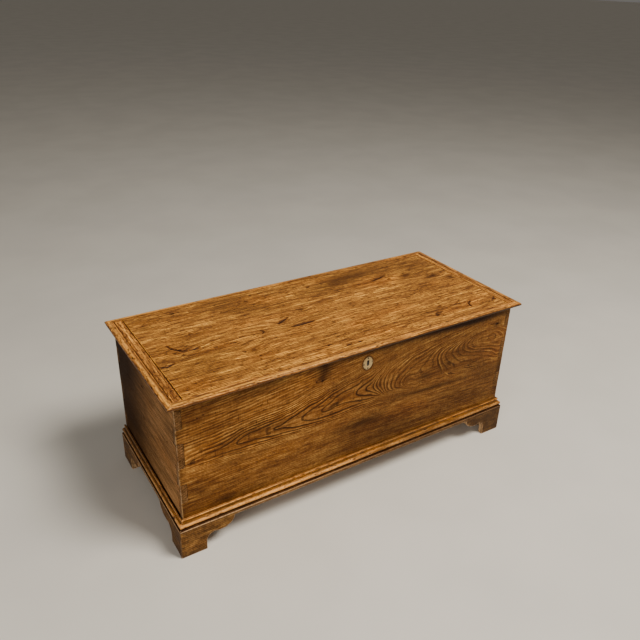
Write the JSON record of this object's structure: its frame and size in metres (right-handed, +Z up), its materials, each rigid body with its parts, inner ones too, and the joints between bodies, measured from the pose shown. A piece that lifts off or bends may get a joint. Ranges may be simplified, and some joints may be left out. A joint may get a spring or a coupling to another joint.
{
  "type": "blanket chest",
  "caption": "Long low wooden chest on bracket feet, with a hinged framed lid, dovetailed corners, a base moulding and a bone escutcheon over a box lock.",
  "frame": {"origin": "on the floor, under the centre of the whole chest", "axes": "+X along the length to the right as seen from the front, +Y from the front to the back, +Z up"},
  "size_m": [1.204, 0.522, 0.501],
  "materials": {
    "elm_front": "waxed elm with a bold cathedral figure, golden brown, darker towards the left end, worn arrises",
    "elm_back": "dry unpolished elm, dull brown",
    "elm_ends": "waxed elm, straight streaky grain, darker than the front",
    "elm_lid": "waxed golden elm with small knots, dark spots and short splits",
    "elm_moulding": "waxed elm moulding, its arrises rubbed pale",
    "elm_plinth": "waxed elm, dark and scuffed towards the floor",
    "pine": "dry unpolished pine, aged",
    "forged_iron": "hand-forged iron, dark and lightly pitted",
    "lock_iron": "filed iron, grey brown",
    "screw_steel": "aged steel screw heads",
    "bone": "bone, yellowed, with a soft polish",
    "brass": "dulled brass pin heads"
  },
  "bodies": {
    "carcass": {"front_board": "elm_front", "back_board": "elm_back", "left_end_board": "elm_ends", "right_end_board": "elm_ends", "bottom_board_1": "pine", "bottom_board_2": "pine", "bottom_board_3": "pine", "bottom_board_4": "pine", "base_moulding_front": "elm_moulding", "base_moulding_left": "elm_moulding", "base_moulding_right": "elm_moulding", "plinth_front": "elm_plinth", "plinth_left": "elm_plinth", "plinth_right": "elm_plinth", "rear_foot_left": "pine", "rear_foot_right": "pine", "foot_block_front_left": "pine", "foot_block_front_right": "pine", "foot_block_back_left": "pine", "foot_block_back_right": "pine", "hinge_tail_left": "forged_iron", "hinge_tail_right": "forged_iron", "hinge_pin_left": "forged_iron", "hinge_pin_right": "forged_iron", "tail_nail_left_1": "forged_iron", "tail_nail_left_2": "forged_iron", "tail_nail_left_3": "forged_iron", "tail_nail_right_1": "forged_iron", "tail_nail_right_2": "forged_iron", "tail_nail_right_3": "forged_iron", "lock_plate": "lock_iron", "lock_case": "lock_iron", "lock_screw_1": "screw_steel", "lock_screw_2": "screw_steel", "lock_screw_3": "screw_steel", "lock_screw_4": "screw_steel", "escutcheon": "bone", "escutcheon_pin_upper": "brass", "escutcheon_pin_lower": "brass"},
    "lid": {"lid_panel": "elm_lid", "lid_cleat_left": "elm_lid", "lid_cleat_right": "elm_lid", "lid_moulding_front": "elm_moulding", "lid_moulding_back": "elm_moulding", "lid_moulding_left": "elm_moulding", "lid_moulding_right": "elm_moulding", "hinge_strap_left": "forged_iron", "hinge_strap_right": "forged_iron", "strap_nail_left_1": "forged_iron", "strap_nail_left_2": "forged_iron", "strap_nail_left_3": "forged_iron", "strap_nail_right_1": "forged_iron", "strap_nail_right_2": "forged_iron", "strap_nail_right_3": "forged_iron", "link_plate": "lock_iron", "link_screw_1": "screw_steel", "link_screw_2": "screw_steel"},
    "bolt": {"lock_bolt": "lock_iron"}
  },
  "joints": [
    {"name": "lid_hinge", "type": "hinge", "parent": "carcass", "child": "lid", "pos_m": [0, 0.2543, 0.4757], "axis": [-1, 0, 0], "range_deg": [0, 100]},
    {"name": "bolt_slide", "type": "slide", "parent": "carcass", "child": "bolt", "axis": [1, 0, 0], "range_m": [0, 0.008]}
  ]
}
